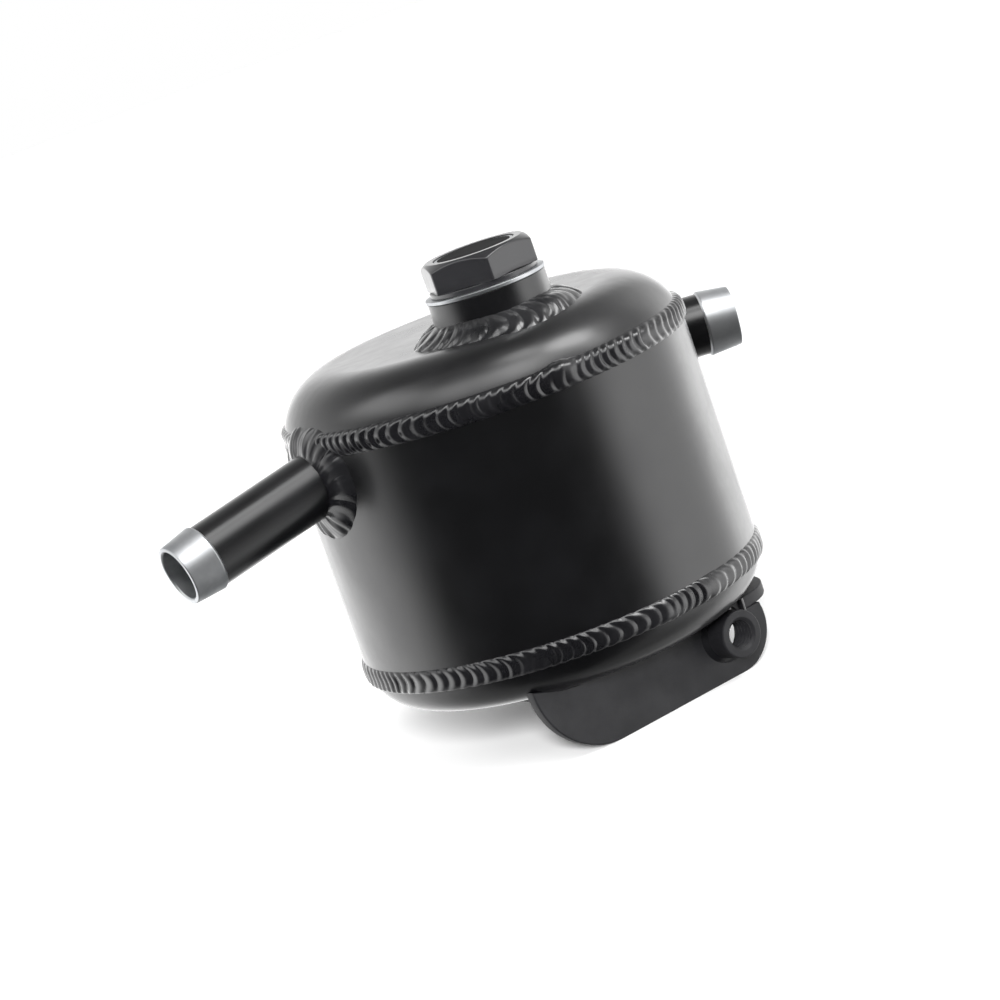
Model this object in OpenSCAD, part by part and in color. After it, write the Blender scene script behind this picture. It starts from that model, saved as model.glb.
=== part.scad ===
// Oil catch can: a welded aluminium can with a hexagon filler plug, two hose spigots and a bracket.
// The origin is the centre of the bracket's threaded hole, at the front face of its boss.
// +Z runs along the can's axis to its plug, and the bracket's boss faces -Y.

/* [Can] */
// Outside diameter of the can's tube
can_d = 101.6; // [98:0.1:112]
// Length of the tube between its two weld seams
tube_h = 60.4; // [57:0.1:80]
// Wall thickness of the tube and of both caps
can_wall = 3; // [2:0.1:3.5]
// Rise of the top cap above its seam
top_rise = 13; // [11:0.1:15]
// Corner radius of the top cap's outside
top_corner = 15.9; // [12:0.1:16.5]
// Drop of the bottom cap below its seam
bottom_drop = 11.6; // [9:0.1:13]
// Corner radius of the bottom cap's outside
bottom_corner = 12.8; // [9:0.1:14]

/* [Welds] */
// Width of a seam weld along the can
seam_w = 6; // [4:0.1:7]
// Height of a seam weld over the wall
seam_h = 1.3; // [0.8:0.1:1.4]
// Spacing of the ripples in the welds
ripple_pitch = 3; // [2.8:0.1:4]
// Depth of the ripples
ripple_depth = 0.35; // [0.2:0.05:0.5]
// How far a ripple's middle runs ahead of its ends
ripple_bow = 1.6; // [0:0.1:2.5]
// Leg of the neck's fillet weld up the neck
neck_leg = 3.8; // [3:0.1:6]
// Leg of the neck's fillet weld over the cap
neck_toe = 6.5; // [4:0.1:7.5]
// Leg of the fillet weld round a hose spigot
spigot_leg = 6; // [3:0.1:6.5]
// Height of a fillet weld's bulge over its straight face
fillet_h = 0.8; // [0.5:0.1:1.2]

/* [Filler neck] */
// Wall thickness of the neck outside its bore
neck_wall = 3.55; // [2.5:0.05:4.5]
// Rise of the neck above the top cap's crown
neck_rise = 9; // [7:0.1:14]
// How far the neck reaches below the cap's inner face
neck_inside = 3; // [1:0.1:6]
// Distance of the neck's axis from the can's axis
neck_offset = 19.5; // [14:0.1:20]
// Direction of the neck from the can's axis
neck_bearing = 260; // [220:1:300]

/* [Filler plug] */
// Thread diameter of the plug
plug_thread_d = 22; // [18:0.1:22.5]
// Radial running clearance of the thread
thread_clear = 0.05; // [0.03:0.01:0.1]
// Length of the shank below the collar
shank_h = 11; // [8:0.1:12]
// Width of the hexagon across its flats, over the thread's diameter
hex_over_w = 3.4; // [3:0.1:4.5]
// Height of the hexagon
hex_h = 7; // [5:0.1:10]
// Turn of the hexagon about its axis when the plug is tight
hex_turn = 5.5; // [0:0.5:60]
// Width of the chamfer on top, at the middle of each flat
hex_chamfer_w = 0.7; // [0.2:0.1:1.2]
// Slope of the chamfer on the hexagon's corners
hex_chamfer_angle = 30; // [20:1:40]
// Width of the round collar outside the thread
collar_w = 2.3; // [2:0.1:3]
// Thickness of the collar
collar_t = 1.3; // [1:0.1:2.5]
// Width of the flat rim between the chamfer and the recess in the plug's top
recess_rim_w = 1.9; // [1.5:0.1:4]
// Depth of the recess
recess_h = 1; // [0.8:0.1:2]
// Thickness of the disc in the recess
disc_t = 0.7; // [0.4:0.1:0.8]
// Radial clearance of the disc in its recess
disc_clear = 0.2; // [0.1:0.05:0.3]
// Depth and width of the relief groove under the collar
relief_h = 1; // [0.6:0.1:1.2]
// Width of the sealing washer's ring
washer_w = 3.65; // [2.6:0.05:4.4]
// Thickness of the sealing washer
washer_t = 0.9; // [0.8:0.1:2]
// Radial clearance of the washer round the shank
washer_clear = 0.15; // [0.1:0.05:0.3]

/* [Hose spigots] */
// Outside diameter of a spigot's tube
spigot_d = 15.8; // [14:0.1:16.5]
// Bore of a spigot
spigot_bore = 12.6; // [10:0.1:13]
// Diameter over the barb's shoulder
barb_d = 16.8; // [16.6:0.1:18]
// Diameter at the barb's tip
tip_d = 15.2; // [13.6:0.1:15.8]
// Length of the barb from its shoulder to its tip
barb_h = 8; // [6:0.1:10]
// Length of the sloping back of the barb's shoulder
barb_back = 0.5; // [0.3:0.1:1]
// Radial clearance of a spigot in its hole
spigot_clear = 0.1; // [0.05:0.05:0.2]
// Direction of the left spigot from the can's axis
left_bearing = 174; // [165:1:185]
// Slope of the left spigot below level
left_slope = 9.8; // [0:0.1:12]
// Depth of the left spigot's axis below the top seam, at the wall
left_drop = 8.8; // [8.4:0.1:30]
// Distance of the left spigot's axis from the can's axis
left_shift = 0; // [-10:0.5:10]
// Length of the left spigot from the wall to its tip
left_l = 41.6; // [30:0.1:60]
// Direction of the right spigot
right_bearing = 331; // [325:1:340]
// Slope of the right spigot below level
right_slope = 3.6; // [0:0.1:8]
// Depth of the right spigot's axis below the top seam, at the wall
right_drop = 11.3; // [10:0.1:30]
// Distance of the right spigot's axis from the can's axis
right_shift = 35; // [26:0.5:35.5]
// Length of the right spigot from the wall to its tip
right_l = 31; // [28:0.1:50]

/* [Bracket] */
// Thickness of the flange under the can
flange_t = 3; // [2.5:0.1:4]
// Thickness of the upright plate
plate_t = 3; // [2.5:0.1:4]
// How far the front of the flange and of the plate lies inside the can's front
flange_front_in = 19.6; // [18:0.1:22]
// Reach of the flange behind the can's axis
flange_back = 9; // [0:0.5:20]
// How far the flange's left edge lies inside the can's left side
flange_left_in = 23; // [18:0.1:30]
// How far the flange's right edge lies inside the can's right side
flange_right_in = 6.5; // [3:0.1:10]
// Radius of the flange's front right corner
flange_corner = 15.3; // [8:0.1:17]
// Radius of the flange's other corners
flange_nick = 3; // [1:0.1:5]
// Height of the upright plate below the flange
plate_h = 14.1; // [13:0.1:24]
// How far the plate's left end lies inside the can's left side
plate_left_in = 14.8; // [14.8:0.1:20]
// How far the plate's right end lies inside the can's right side
plate_right_in = 16; // [13:0.1:18]
// Radius of the plate's lower left corner
plate_sweep = 20.4; // [16:0.1:22]
// Radius of the plate's right end
plate_lobe = 10.9; // [9:0.1:12]
// Outside diameter of the boss
boss_d = 11.8; // [10:0.1:12]
// Length of the boss in front of the plate
boss_l = 7; // [5:0.1:15]
// Diameter of the threaded hole through the boss
boss_bore_d = 6.8; // [5:0.1:7]
// How far the hole in the plate behind the boss stays inside the boss's side
plate_hole_in = 0.5; // [0.4:0.1:1.5]
// How far the boss's axis lies inside the can's right side
boss_right_in = 29.5; // [26:0.1:34]
// Depth of the boss's axis below the flange's top
boss_drop = 6; // [6:0.05:7]
// Chamfer round the boss's face
boss_chamfer = 0.4; // [0.2:0.1:0.8]
// Leg of the weld round the boss's foot
boss_leg = 1.2; // [0.6:0.1:1.5]
// Height of the weld between the bottom cap and the flange
flange_bead = 0.6; // [0.4:0.1:0.8]
// How far past the boss the plate's top steps down to pass under the flange
step_past = 1.6; // [1.4:0.1:3]
// Radius of the short bead up that step
step_bead_r = 0.9; // [0.5:0.1:1.2]
// Leg of the weld between the flange and the plate
plate_leg = 3; // [2:0.1:4]
// Bare length between the plate's weld and the boss
plate_bare = 2; // [1:0.5:12]

/* [Baffle] */
// Thickness of the baffle plate
baffle_t = 2; // [1.5:0.1:3]
// Height of the baffle plate's top above the bottom seam
baffle_z = 24; // [14:0.5:30]
// Radial clearance of the baffle plate in the tube
baffle_clear = 0.2; // [0.1:0.05:0.4]
// Diameter of the drain holes
drain_d = 8; // [5:0.1:9]
// Holes in the inner ring, and half of those in the outer ring
drain_count = 6; // [4:1:7]
// Radius of the inner ring of holes
drain_ring = 16; // [13:0.5:17]
// Radius of the outer ring of holes
drain_ring_outer = 32; // [28:0.5:36]
// Number of tack welds
tack_count = 4; // [3:1:6]
// Leg of a tack weld
tack_leg = 2.5; // [1.5:0.1:3]
// Angle that a tack weld covers
tack_angle = 8; // [5:1:15]

/* [Hidden] */
$fn = 96;

can_r = can_d / 2;
inner_r = can_r - can_wall;
spigot_r = spigot_d / 2;
plug_r = plug_thread_d / 2;
neck_bore_r = plug_r + thread_clear;
neck_r = neck_bore_r + neck_wall;
hex_w = plug_thread_d + hex_over_w;
hex_face_r = hex_w / 2 - hex_chamfer_w;
recess_r = hex_face_r - recess_rim_w;
left_z = tube_h - left_drop;
right_z = tube_h - right_drop;
crown_z = tube_h + top_rise;
neck_x = neck_offset * cos(neck_bearing);
neck_y = neck_offset * sin(neck_bearing);
neck_top = crown_z + neck_rise;
collar_z = neck_top + washer_t;
hex_z = collar_z + collar_t;
flange_z = -bottom_drop;
plate_top = flange_z - flange_t;
plate_foot = plate_top - plate_h;
flange_front = can_r - flange_front_in;
flange_left = can_r - flange_left_in;
flange_right = can_r - flange_right_in;
plate_left = can_r - plate_left_in;
plate_right = can_r - plate_right_in;
boss_r = boss_d / 2;
boss_x = can_r - boss_right_in;
step_x = boss_x + boss_r + step_past;
boss_z = flange_z - boss_drop;
// The fillet beads lie this far off the surfaces under them
weld_lift = 0.06;
// A seam bead's base spans a cap's curve with this much to spare
seam_lift = 0.15;
// Points across a bead's crown, as fractions of its width
CROWN = [0.25, 0.5, 0.75];
// Points under a fillet bead from its toe to its joint, as fractions of its leg
BASE = [0.75, 0.5, 0.25];
// Where a ripple's crest stands between one trough and the next
crest_share = 0.35;

// Moves the can from its own axis, at the bottom seam, to the row's origin at the boss's face.
module from_bolt() {
    translate([-boss_x, flange_front + boss_l, -boss_z])
        children();
}

// Height lost on a cap's outside at a distance from the axis: none on the crown, an arc past it.
function corner_drop(reach, corner) =
    reach <= can_r - corner ? 0 : corner - sqrt(corner * corner - pow(reach - can_r + corner, 2));

// Outside radius of a cap at a height over its seam.
function cap_radius(rise, corner, h) =
    h <= rise - corner ? can_r : can_r - corner + sqrt(corner * corner - pow(h - rise + corner, 2));

// Even rings are troughs and odd rings are crests, which stand ahead of the middle.
function ring_turn(i, rings) = (floor(i / 2) + (i % 2) * crest_share) * 720 / rings;

// Share of the full crown at a ring.
function ripple(i) = i % 2 == 0 ? -ripple_depth : 0;

// Count of rings for a bead that runs once round a radius.
function bead_rings(radius) = 2 * round(2 * PI * radius / ripple_pitch);

// How much wider a ring's corners lie, so that its widest side still clears the round surface inside it.
function ring_fit(rings) = 1 / cos(360 * max(crest_share, 1 - crest_share) / rings);

// Triangles of a closed sleeve: each ring of points joins the next, and the last joins the first.
// A way of -1 turns them over, for rings whose points, or whose order, run clockwise.
function sleeve_faces(rings, points, way = 1) = [
    for (i = [0 : rings - 1], k = [0 : points - 1])
        let (next = (i + 1) % rings, side = (k + 1) % points,
            a = i * points + k, b = i * points + side, c = next * points + side, d = next * points + k)
        each way > 0 ? [[a, b, c], [a, c, d]] : [[c, b, a], [d, c, a]]
];

// Half section of a cap's outside: a flat crown, an arc, and a straight skirt where the arc ends early.
module cap_section(reach, rise, corner) {
    intersection() {
        square([reach, rise]);
        union() {
            square([reach - corner, rise]);
            translate([reach - corner, rise - corner])
                circle(r = corner);
            if (rise > corner)
                square([reach, rise - corner]);
        }
    }
}

// A dished end cap of even wall, standing on its seam.
module cap_shell(rise, corner) {
    rotate_extrude()
        difference() {
            cap_section(can_r, rise, corner);
            cap_section(inner_r, rise - can_wall, corner - can_wall);
        }
}

// A spigot's frame: x runs out along its axis, from the point where that axis meets the wall.
module at_spigot(bearing, slope, shift, z) {
    rotate([0, 0, bearing])
        translate([sqrt(can_r * can_r - shift * shift), shift, z])
            rotate([0, slope, 0])
                rotate([0, 90, 0])
                    children();
}

// Turned profile of a spigot from inside the can to its barb, bored through.
module spigot_blank(length) {
    inside = 2 * can_r;
    rotate_extrude()
        difference() {
            union() {
                translate([0, -inside])
                    square([spigot_r, inside + length - barb_h]);
                polygon([[0, length - barb_h - barb_back], [spigot_r, length - barb_h - barb_back],
                    [barb_d / 2, length - barb_h], [tip_d / 2, length], [0, length]]);
            }
            translate([0, -inside - 1])
                square([spigot_bore / 2, inside + length + 2]);
        }
}

// A spigot whose inner end is cut to the curve of the can's inner wall.
module spigot(bearing, slope, shift, z, length) {
    difference() {
        at_spigot(bearing, slope, shift, z)
            spigot_blank(length);
        translate([0, 0, -can_d])
            cylinder(r = inner_r, h = 3 * can_d);
        rotate([0, 0, bearing + 90])
            translate([-2 * can_d, 0, -can_d])
                cube([4 * can_d, 4 * can_d, 3 * can_d]);
    }
}

// Directions of a spigot's frame: out along the axis, level to its left, and up across it.
function spigot_out(bearing, slope) = [cos(bearing) * cos(slope), sin(bearing) * cos(slope), -sin(slope)];
function spigot_side(bearing) = [-sin(bearing), cos(bearing), 0];

// Radius of the can's outside at a height: the tube's to a little above its end, then the top cap's arc.
function shell_radius(z) =
    z <= tube_h + seam_w / 4 ? can_r : cap_radius(top_rise, top_corner, min(z - tube_h, top_rise));

// Point where a line meets a circle of the can's outside, with the radius mended for its height a few times.
function meet_shell(g, out, r, mends) =
    let (a = out.x * out.x + out.y * out.y, b = g.x * out.x + g.y * out.y,
        c = g.x * g.x + g.y * g.y - pow(r + weld_lift, 2),
        p = g + out * (-b + sqrt(max(0, b * b - a * c))) / a)
    mends == 0 ? p : meet_shell(g, out, shell_radius(p.z), mends - 1);

// Point of the can's outside on a line along the spigot, at a radius and turn about the spigot's axis.
function wall_point(bearing, slope, shift, z, radius, turn) =
    let (out = spigot_out(bearing, slope), side = spigot_side(bearing), up = cross(out, side),
        level = sqrt(can_r * can_r - shift * shift),
        root = [level * cos(bearing), level * sin(bearing), z] + shift * side)
    meet_shell(root + radius * (cos(turn) * side + sin(turn) * up), out, can_r, 4);

// One ring of a fillet bead: its crown from the top of the joint to the toe, then back along the base.
function fillet_ring(top, toe, base, corner, rise) =
    let (face = toe - top, out = (top - corner) / norm(top - corner) + (toe - corner) / norm(toe - corner))
    concat([top], [for (t = CROWN) top + face * t + out / norm(out) * rise * 4 * t * (1 - t)], [toe], base, [corner]);

// Fillet bead where a spigot leaves the can's wall, with legs of one length along the tube and the wall.
module spigot_bead(bearing, slope, shift, z) {
    rings = bead_rings(spigot_r + spigot_leg / 2);
    fit = ring_fit(rings);
    out = spigot_out(bearing, slope);
    ring_list = [for (i = [0 : rings - 1])
        let (turn = ring_turn(i, rings),
            corner = wall_point(bearing, slope, shift, z, spigot_r * fit, turn),
            far = wall_point(bearing, slope, shift, z, spigot_r + spigot_leg, turn),
            reach = spigot_leg * min(1, spigot_leg / norm(far - corner)))
        fillet_ring(corner + out * spigot_leg,
            wall_point(bearing, slope, shift, z, spigot_r + reach, turn),
            [for (t = BASE) wall_point(bearing, slope, shift, z, spigot_r * fit + reach * t, turn)],
            corner, fillet_h + ripple(i))];
    polyhedron(points = [for (r = ring_list) each r], faces = sleeve_faces(rings, len(ring_list[0]), -1));
}

// Room that a spigot and its bead take out of the seam bead beside them.
module spigot_room(bearing, slope, shift, z) {
    at_spigot(bearing, slope, shift, z)
        translate([0, 0, -can_r / 2])
            cylinder(r = spigot_r + spigot_leg, h = can_r);
}

// Rippled bead round a seam: the tube's wall is below the seam and the cap's arc above it.
// The way is 1 where the ripples' middles run ahead anticlockwise, and -1 where they run clockwise.
module seam_bead(rise, corner, way) {
    rings = bead_rings(can_r);
    fit = ring_fit(rings);
    low = [can_r * fit, -seam_w / 2];
    mid = [can_r * fit, 0];
    high = [(cap_radius(rise, corner, seam_w / 2) + seam_lift) * fit, seam_w / 2];
    across = high - low;
    out = [across.y, -across.x] / norm(across);
    points = [for (i = [0 : rings - 1])
        let (turn = way * ring_turn(i, rings), lead = way * ripple_bow / can_r * 180 / PI)
        each concat([[low.x * cos(turn), low.x * sin(turn), low.y]],
            [for (t = CROWN)
                let (swell = 4 * t * (1 - t), p = low + across * t + out * (seam_h + ripple(i)) * swell,
                    a = turn + lead * swell)
                [p.x * cos(a), p.x * sin(a), p.y]],
            [[high.x * cos(turn), high.x * sin(turn), high.y], [mid.x * cos(turn), mid.x * sin(turn), mid.y]])];
    polyhedron(points = points, faces = sleeve_faces(rings, len(points) / rings, way));
}

// Point on the top cap's outside under a place in plan.
function crown_point(x, y) = [x, y, crown_z + weld_lift - corner_drop(norm([x, y]), top_corner)];

// Straight or round ended outline with its own radius at each corner, from the front left round to the left.
module cornered(x0, x1, y0, y1, radii) {
    difference() {
        translate([x0, y0])
            square([x1 - x0, y1 - y0]);
        corner_cut(x0, y0, radii[0], 0);
        corner_cut(x1, y0, radii[1], 90);
        corner_cut(x1, y1, radii[2], 180);
        corner_cut(x0, y1, radii[3], 270);
    }
}

// What a round corner takes off a square one.
module corner_cut(x, y, r, turn) {
    translate([x, y])
        rotate(turn)
            difference() {
                translate([-1, -1])
                    square(r + 1);
                translate([r, r])
                    circle(r = r);
            }
}

// Outline of the flange, which lies behind the plate and comes level with its front past the step.
module flange_plan() {
    cornered(-flange_left, flange_right, plate_t - flange_front, flange_back,
        [flange_nick, flange_corner, flange_nick, flange_nick]);
    intersection() {
        cornered(-flange_left, flange_right, -flange_front, flange_back, [0, flange_corner, 0, 0]);
        translate([step_x, -flange_front])
            square([flange_right, plate_t + flange_corner]);
    }
}

module body_tube() {
    color("#1b1c1e")
        from_bolt()
            difference() {
                cylinder(r = can_r, h = tube_h);
                translate([0, 0, -1])
                    cylinder(r = inner_r, h = tube_h + 2);
                at_spigot(left_bearing, left_slope, left_shift, left_z)
                    translate([0, 0, -can_r / 2])
                        cylinder(r = spigot_r + spigot_clear, h = can_r);
                at_spigot(right_bearing, right_slope, right_shift, right_z)
                    translate([0, 0, -can_r / 2])
                        cylinder(r = spigot_r + spigot_clear, h = can_r);
            }
}

module top_cap() {
    color("#1b1c1e")
        from_bolt()
            difference() {
                translate([0, 0, tube_h])
                    cap_shell(top_rise, top_corner);
                translate([neck_x, neck_y, tube_h])
                    cylinder(r = neck_r + spigot_clear, h = top_rise + 1);
            }
}

module bottom_cap() {
    color("#1b1c1e")
        from_bolt()
            mirror([0, 0, 1])
                cap_shell(bottom_drop, bottom_corner);
}

module top_seam_weld() {
    color("#26272a")
        from_bolt()
            difference() {
                translate([0, 0, tube_h])
                    seam_bead(top_rise, top_corner, -1);
                spigot_room(left_bearing, left_slope, left_shift, left_z);
                spigot_room(right_bearing, right_slope, right_shift, right_z);
            }
}

module bottom_seam_weld() {
    color("#26272a")
        from_bolt()
            mirror([0, 0, 1])
                seam_bead(bottom_drop, bottom_corner, 1);
}

// Turned neck with a plain bore that stands for its thread.
module filler_neck() {
    foot = crown_z - can_wall - neck_inside;
    color("#1b1c1e")
        from_bolt()
            translate([neck_x, neck_y, foot])
                difference() {
                    cylinder(r = neck_r, h = neck_top - foot);
                    translate([0, 0, -1])
                        cylinder(r = neck_bore_r, h = neck_top - foot + 2);
                }
}

module neck_weld() {
    rings = bead_rings(neck_r + neck_toe / 2);
    r = neck_r * ring_fit(rings);
    ring_list = [for (i = [0 : rings - 1])
        let (turn = ring_turn(i, rings), x = cos(turn), y = sin(turn), far = neck_r + neck_toe,
            corner = crown_point(neck_x + r * x, neck_y + r * y))
        fillet_ring(corner + [0, 0, neck_leg], crown_point(neck_x + far * x, neck_y + far * y),
            [for (t = BASE) crown_point(neck_x + (r + neck_toe * t) * x, neck_y + (r + neck_toe * t) * y)],
            corner, fillet_h + ripple(i))];
    color("#26272a")
        from_bolt()
            polyhedron(points = [for (r = ring_list) each r], faces = sleeve_faces(rings, len(ring_list[0]), -1));
}

module plug_washer() {
    color("#c9ccd0")
        from_bolt()
            translate([neck_x, neck_y, neck_top])
                difference() {
                    cylinder(r = plug_r + washer_clear + washer_w, h = washer_t);
                    translate([0, 0, -1])
                        cylinder(r = plug_r + washer_clear, h = washer_t + 2);
                }
}

// Hexagon head, collar and shank in one turned and milled piece.
module filler_plug() {
    color("#4a4b4e")
        from_bolt()
            translate([neck_x, neck_y, collar_z])
                difference() {
                    union() {
                        cylinder(r = plug_r + collar_w, h = collar_t);
                        translate([0, 0, collar_t])
                            intersection() {
                                rotate([0, 0, hex_turn])
                                    cylinder(r = hex_w / 2 / cos(30), h = hex_h, $fn = 6);
                                hex_chamfer();
                            }
                        translate([0, 0, -shank_h])
                            rotate_extrude()
                                polygon([[0, 0], [plug_r - relief_h, 0], [plug_r, relief_h],
                                    [plug_r, shank_h - 2 * relief_h], [plug_r - relief_h, shank_h - relief_h],
                                    [plug_r - relief_h, shank_h], [0, shank_h]]);
                    }
                    translate([0, 0, collar_t + hex_h - recess_h])
                        cylinder(r = recess_r, h = recess_h + 1);
                }
}

// Cone that takes the corners off the hexagon's top.
module hex_chamfer() {
    slope = 1 / tan(hex_chamfer_angle);
    cylinder(r1 = hex_face_r + hex_h * slope, r2 = hex_face_r, h = hex_h);
}

module plug_disc() {
    color("#b9bcc1")
        from_bolt()
            translate([neck_x, neck_y, hex_z + hex_h - recess_h])
                cylinder(r = recess_r - disc_clear, h = disc_t);
}

module left_spigot() {
    color("#2b2c2f")
        from_bolt()
            spigot(left_bearing, left_slope, left_shift, left_z, left_l);
}

module left_spigot_weld() {
    color("#26272a")
        from_bolt()
            spigot_bead(left_bearing, left_slope, left_shift, left_z);
}

module right_spigot() {
    color("#2b2c2f")
        from_bolt()
            spigot(right_bearing, right_slope, right_shift, right_z, right_l);
}

module right_spigot_weld() {
    color("#26272a")
        from_bolt()
            spigot_bead(right_bearing, right_slope, right_shift, right_z);
}

module bracket_flange() {
    color("#303134")
        from_bolt()
            translate([0, 0, plate_top])
                linear_extrude(flange_t)
                    flange_plan();
}

// Outline of the upright plate, seen from the front, with its foot at zero.
// Its top reaches the can in front of the flange, and steps down to pass under the flange at the right.
module plate_outline() {
    intersection() {
        union() {
            translate([-plate_left, 0])
                square([plate_left + step_x, plate_h + flange_t]);
            square([plate_right, plate_h]);
        }
        union() {
            translate([plate_sweep - plate_left, plate_sweep])
                circle(r = plate_sweep);
            translate([plate_right - plate_lobe, plate_lobe])
                circle(r = plate_lobe);
            translate([plate_sweep - plate_left, 0])
                square([plate_left + plate_right - plate_sweep - plate_lobe, plate_h]);
            translate([plate_sweep - plate_left, 0])
                square([plate_left + step_x - plate_sweep, plate_h + flange_t]);
        }
    }
}

module bracket_plate() {
    color("#303134")
        from_bolt()
            difference() {
                translate([0, plate_t - flange_front, plate_foot])
                    rotate([90, 0, 0])
                        linear_extrude(plate_t)
                            plate_outline();
                boss_hole(boss_r - plate_hole_in);
            }
}

// Hole on the boss's axis, through the plate and the boss.
module boss_hole(radius) {
    translate([boss_x, plate_t - flange_front + 1, boss_z])
        rotate([90, 0, 0])
            cylinder(r = radius, h = plate_t + boss_l + 2);
}

// Boss with its threaded hole as a plain bore at the thread's core.
module bracket_boss() {
    color("#303134")
        from_bolt()
            difference() {
                translate([boss_x, -flange_front, boss_z])
                    rotate([90, 0, 0])
                        union() {
                            cylinder(r = boss_r, h = boss_l - boss_chamfer);
                            translate([0, 0, boss_l - boss_chamfer])
                                cylinder(r1 = boss_r, r2 = boss_r - boss_chamfer, h = boss_chamfer);
                        }
                boss_hole(boss_bore_d / 2);
            }
}

// Bead in the wedge between the bottom cap's corner and the flange, as far as the flange reaches.
module flange_weld() {
    flat_r = can_r - bottom_corner;
    foot_r = flat_r + sqrt(pow(bottom_corner, 2) - pow(bottom_corner - flange_bead, 2));
    color("#26272a")
        from_bolt()
            translate([0, 0, flange_z])
                intersection() {
                    rotate_extrude()
                        difference() {
                            polygon([[flat_r, 0], [foot_r + flange_bead, 0], [foot_r, flange_bead], [flat_r, flange_bead]]);
                            translate([flat_r, bottom_corner])
                                circle(r = bottom_corner, $fn = 240);
                        }
                    linear_extrude(flange_bead)
                        flange_plan();
                }
}

// Straight fillet in the corner between the flange's underside and the plate's back, and a bead up the step.
module plate_weld() {
    start = plate_sweep - plate_left;
    color("#26272a")
        from_bolt() {
            translate([start, plate_t - flange_front, plate_top])
                rotate([90, 0, 90])
                    linear_extrude(boss_x - boss_r - plate_bare - start)
                        polygon([[0, 0], [0, -plate_leg], [plate_leg, 0]]);
            translate([step_x, -flange_front, plate_top])
                intersection() {
                    cylinder(r = step_bead_r, h = flange_t);
                    translate([-flange_t, -flange_t, 0])
                        cube([2 * flange_t, flange_t, flange_t]);
                }
        }
}

// Small fillet round the boss's foot, cut off level with the flange's top.
module boss_weld() {
    color("#26272a")
        from_bolt()
            intersection() {
                translate([boss_x, -flange_front, boss_z])
                    rotate([90, 0, 0])
                        difference() {
                            cylinder(r1 = boss_r + boss_leg, r2 = boss_r, h = boss_leg);
                            translate([0, 0, -1])
                                cylinder(r = boss_r, h = boss_leg + 2);
                        }
                translate([boss_x - boss_d, -2 * flange_front, flange_z - weld_lift - 2 * boss_d])
                    cube([2 * boss_d, 2 * flange_front, 2 * boss_d]);
            }
}

module baffle_plate() {
    color("#a9acb0")
        from_bolt()
            translate([0, 0, baffle_z - baffle_t])
                difference() {
                    cylinder(r = inner_r - baffle_clear, h = baffle_t);
                    drain_holes(drain_ring, drain_count);
                    drain_holes(drain_ring_outer, 2 * drain_count);
                }
}

module drain_holes(ring, count) {
    for (i = [0 : count - 1])
        rotate([0, 0, i * 360 / count])
            translate([ring, 0, -1])
                cylinder(r = drain_d / 2, h = baffle_t + 2);
}

// Short fillets between the baffle plate's top and the tube's inner wall.
module baffle_tacks() {
    color("#8f9296")
        from_bolt()
            for (i = [0 : tack_count - 1])
                rotate([0, 0, (i + 0.5) * 360 / tack_count])
                    translate([0, 0, baffle_z])
                        rotate_extrude(angle = tack_angle)
                            polygon([[inner_r, 0], [inner_r, tack_leg], [inner_r - tack_leg, 0]]);
}

body_tube();
top_cap();
bottom_cap();
top_seam_weld();
bottom_seam_weld();
filler_neck();
neck_weld();
plug_washer();
filler_plug();
plug_disc();
left_spigot();
left_spigot_weld();
right_spigot();
right_spigot_weld();
bracket_flange();
bracket_plate();
bracket_boss();
flange_weld();
plate_weld();
boss_weld();
baffle_plate();
baffle_tacks();
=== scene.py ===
"""The looks of an oil catch can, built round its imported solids.

The can is welded aluminium in a black coat, with rippled beads, a hexagon filler plug, hose spigots that
end in bare barbs, and a powder coated bracket. Sizes are millimetres in the can's own frame: z runs up the
can's axis from the bottom seam, x runs along the bracket's plate, and the plate's front faces -y.
"""

from __future__ import annotations

import logging
import math
from dataclasses import dataclass
from enum import Enum
from typing import Any, Sequence

import bmesh
import bpy
import numpy as np
from mathutils import Euler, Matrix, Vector
from mathutils.geometry import tessellate_polygon
from numpy.typing import NDArray


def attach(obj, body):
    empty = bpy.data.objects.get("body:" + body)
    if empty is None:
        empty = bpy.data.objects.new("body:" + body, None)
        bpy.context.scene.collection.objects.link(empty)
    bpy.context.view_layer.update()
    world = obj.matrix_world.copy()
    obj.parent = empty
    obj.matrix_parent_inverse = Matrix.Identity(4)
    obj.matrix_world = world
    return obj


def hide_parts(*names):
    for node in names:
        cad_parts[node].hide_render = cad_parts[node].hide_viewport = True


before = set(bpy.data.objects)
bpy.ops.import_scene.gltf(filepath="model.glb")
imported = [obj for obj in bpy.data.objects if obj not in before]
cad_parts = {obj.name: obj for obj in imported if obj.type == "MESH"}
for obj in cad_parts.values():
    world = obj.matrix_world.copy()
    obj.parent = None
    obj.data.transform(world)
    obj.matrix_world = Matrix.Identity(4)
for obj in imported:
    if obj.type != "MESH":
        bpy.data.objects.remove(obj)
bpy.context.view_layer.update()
LOG = logging.getLogger("oil_catch_can")
Array = NDArray[np.float64]

# Centre of the bracket's threaded hole at its boss's front face, which is the row's origin
ROW_ORIGIN = np.array([21.3, -38.2, -17.6])


class Body(str, Enum):
    """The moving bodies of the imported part."""

    CAN = "can"
    WASHER = "washer"
    PLUG = "plug"


class Coat(str, Enum):
    """The record's material slots."""

    BLACK = "black_coat"
    WELD = "weld_coat"
    BRACKET = "bracket_coat"
    PLUG = "plug_satin"
    BARE = "bare_aluminium"


class Torch(int, Enum):
    """The way the welder's torch went round, seen from above, which is the way the ripples bow."""

    CLOCKWISE = -1
    COUNTER = 1


def to_row(points: Array) -> Array:
    """Turns points from the can's frame, in mm, to the row's frame, in metres: (point - origin) / 1000.

    Args:
        points: Any array whose last axis is x, y, z.

    Returns:
        The same points in the row's frame.
    """
    return (np.asarray(points, float) - ROW_ORIGIN) / 1000.0


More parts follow.
